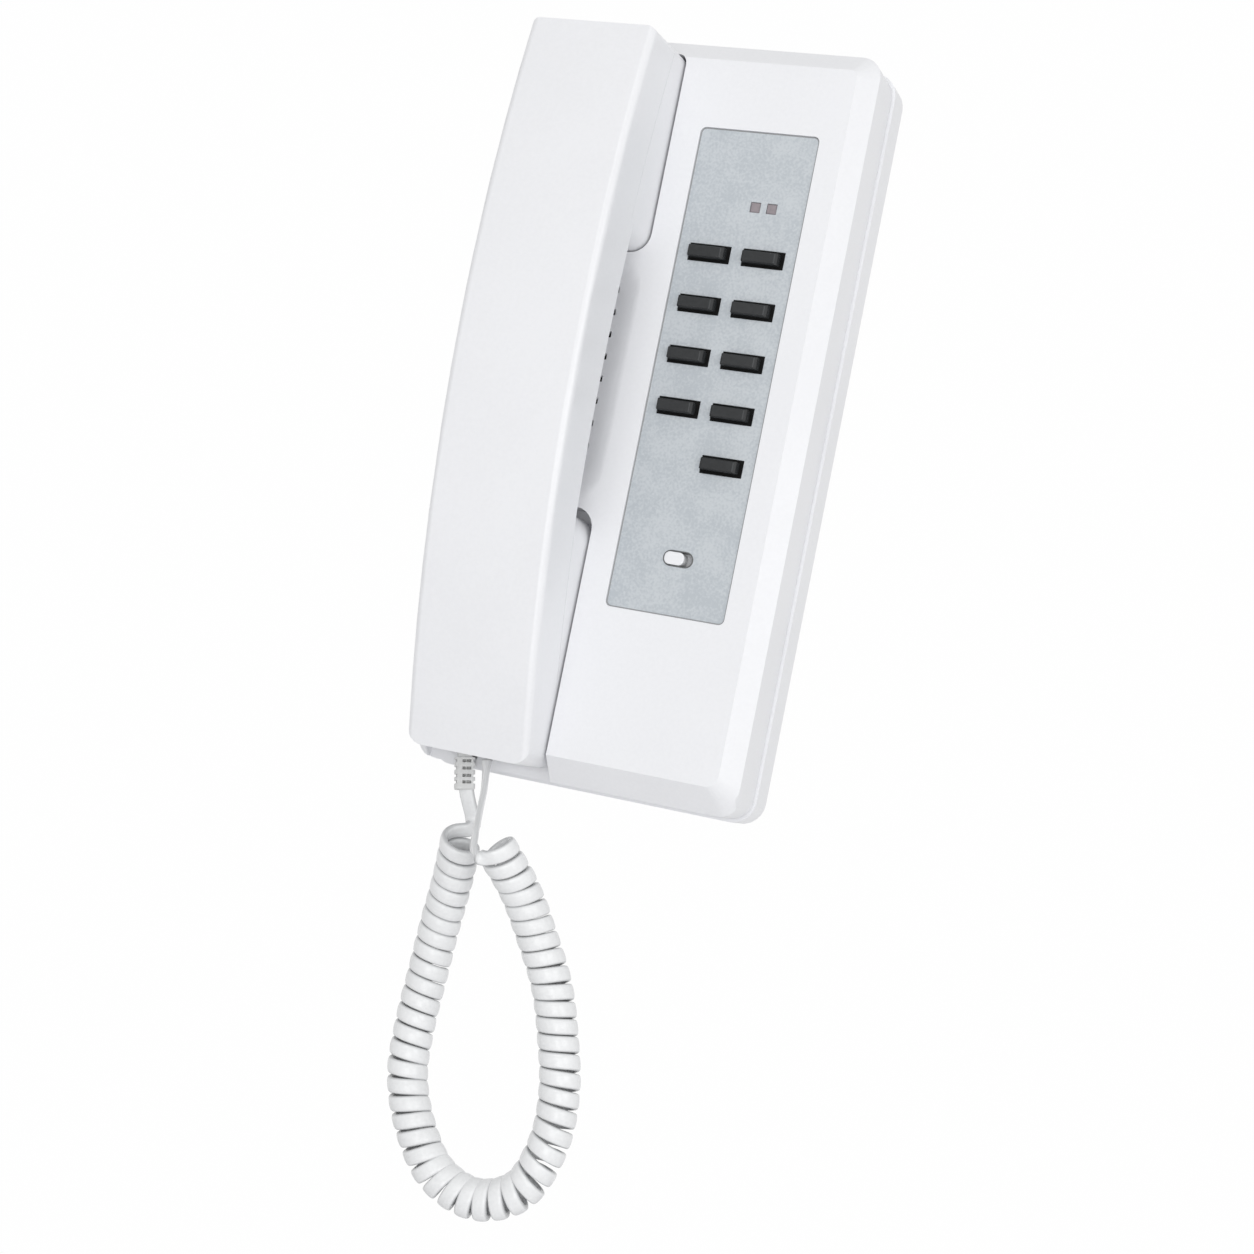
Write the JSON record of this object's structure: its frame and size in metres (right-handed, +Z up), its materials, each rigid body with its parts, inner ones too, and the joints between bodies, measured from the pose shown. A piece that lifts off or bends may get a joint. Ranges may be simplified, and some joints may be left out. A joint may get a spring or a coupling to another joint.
{
  "type": "slimline wall phone",
  "caption": "Slim wall phone with a lift-off handset in two wells, a grey panel of dark keys, two lamps, a volume slide and a hanging curly cord.",
  "frame": {"origin": "middle of the wall side of the base, halfway between the two wall screw holes", "axes": "+Z up, +X right as seen from the front, +Y into the wall; the front faces -Y"},
  "size_m": [0.102, 0.0635, 0.3447],
  "materials": {
    "white_plastic": "satin white moulded plastic",
    "panel_metal": "fine matt grey print",
    "key_plastic": "matt dark grey",
    "steel": "zinc plated",
    "board_green": "solder resist",
    "black_plastic": "matt black",
    "lamp_window": "clear smoked, seen over a dark inside",
    "lamp_red": "tinted resin",
    "speaker_paper": "matt paper",
    "foam_black": "matt foam",
    "terminal_blue": "matt blue",
    "cord_white": "satin white soft plastic"
  },
  "bodies": {
    "base": {"wall_bracket": "steel", "rear_cover": "white_plastic", "front_cover": "white_plastic", "panel_plate": "panel_metal", "main_board": "board_green", "key_switches": "black_plastic", "lamp_windows": "lamp_window", "lamps": "lamp_red", "volume_switch": "black_plastic", "speaker_frame": "steel", "speaker_cone": "speaker_paper", "speaker_magnet": "steel", "speaker_gasket": "foam_black", "hook_switch": "black_plastic", "terminal_block": "terminal_blue", "case_screws": "steel", "board_screws": "steel", "hook_screws": "steel", "cord_boot": "cord_white", "cord_base_end": "cord_white", "cord_curls": "cord_white", "cord_handset_end": "cord_white"},
    "handset": {"handset_front": "white_plastic", "handset_back": "white_plastic", "receiver": "black_plastic", "receiver_gasket": "foam_black", "microphone": "steel", "microphone_sleeve": "foam_black", "handset_screws": "steel", "handset_cord_clip": "black_plastic"},
    "hook": {"hook_plunger": "white_plastic"},
    "volume": {"volume_knob": "white_plastic"},
    "button_1": {"key_1": "key_plastic"},
    "button_2": {"key_2": "key_plastic"},
    "button_3": {"key_3": "key_plastic"},
    "button_4": {"key_4": "key_plastic"},
    "button_5": {"key_5": "key_plastic"},
    "button_6": {"key_6": "key_plastic"},
    "button_7": {"key_7": "key_plastic"},
    "button_8": {"key_8": "key_plastic"},
    "button_9": {"key_9": "key_plastic"}
  },
  "joints": [
    {"name": "handset_lift", "type": "slide", "parent": "base", "child": "handset", "axis": [0, -1, 0], "range_m": [0, 0.05]},
    {"name": "hook_travel", "type": "slide", "parent": "base", "child": "hook", "axis": [0, -1, 0], "range_m": [0, 0.004]},
    {"name": "volume_slide", "type": "slide", "parent": "base", "child": "volume", "axis": [1, 0, 0], "range_m": [0, 0.0022]},
    {"name": "press_1", "type": "slide", "parent": "base", "child": "button_1", "axis": [0, 1, 0], "range_m": [0, 0.0015], "stiffness_N_per_m": 300, "springref_m": -0.002},
    {"name": "press_2", "type": "slide", "parent": "base", "child": "button_2", "axis": [0, 1, 0], "range_m": [0, 0.0015], "stiffness_N_per_m": 300, "springref_m": -0.002},
    {"name": "press_3", "type": "slide", "parent": "base", "child": "button_3", "axis": [0, 1, 0], "range_m": [0, 0.0015], "stiffness_N_per_m": 300, "springref_m": -0.002},
    {"name": "press_4", "type": "slide", "parent": "base", "child": "button_4", "axis": [0, 1, 0], "range_m": [0, 0.0015], "stiffness_N_per_m": 300, "springref_m": -0.002},
    {"name": "press_5", "type": "slide", "parent": "base", "child": "button_5", "axis": [0, 1, 0], "range_m": [0, 0.0015], "stiffness_N_per_m": 300, "springref_m": -0.002},
    {"name": "press_6", "type": "slide", "parent": "base", "child": "button_6", "axis": [0, 1, 0], "range_m": [0, 0.0015], "stiffness_N_per_m": 300, "springref_m": -0.002},
    {"name": "press_7", "type": "slide", "parent": "base", "child": "button_7", "axis": [0, 1, 0], "range_m": [0, 0.0015], "stiffness_N_per_m": 300, "springref_m": -0.002},
    {"name": "press_8", "type": "slide", "parent": "base", "child": "button_8", "axis": [0, 1, 0], "range_m": [0, 0.0015], "stiffness_N_per_m": 300, "springref_m": -0.002},
    {"name": "press_9", "type": "slide", "parent": "base", "child": "button_9", "axis": [0, 1, 0], "range_m": [0, 0.0015], "stiffness_N_per_m": 300, "springref_m": -0.002}
  ],
  "couplings": [
    {"joint": "hook_travel", "follows": "handset_lift", "ratio": 0.08}
  ]
}
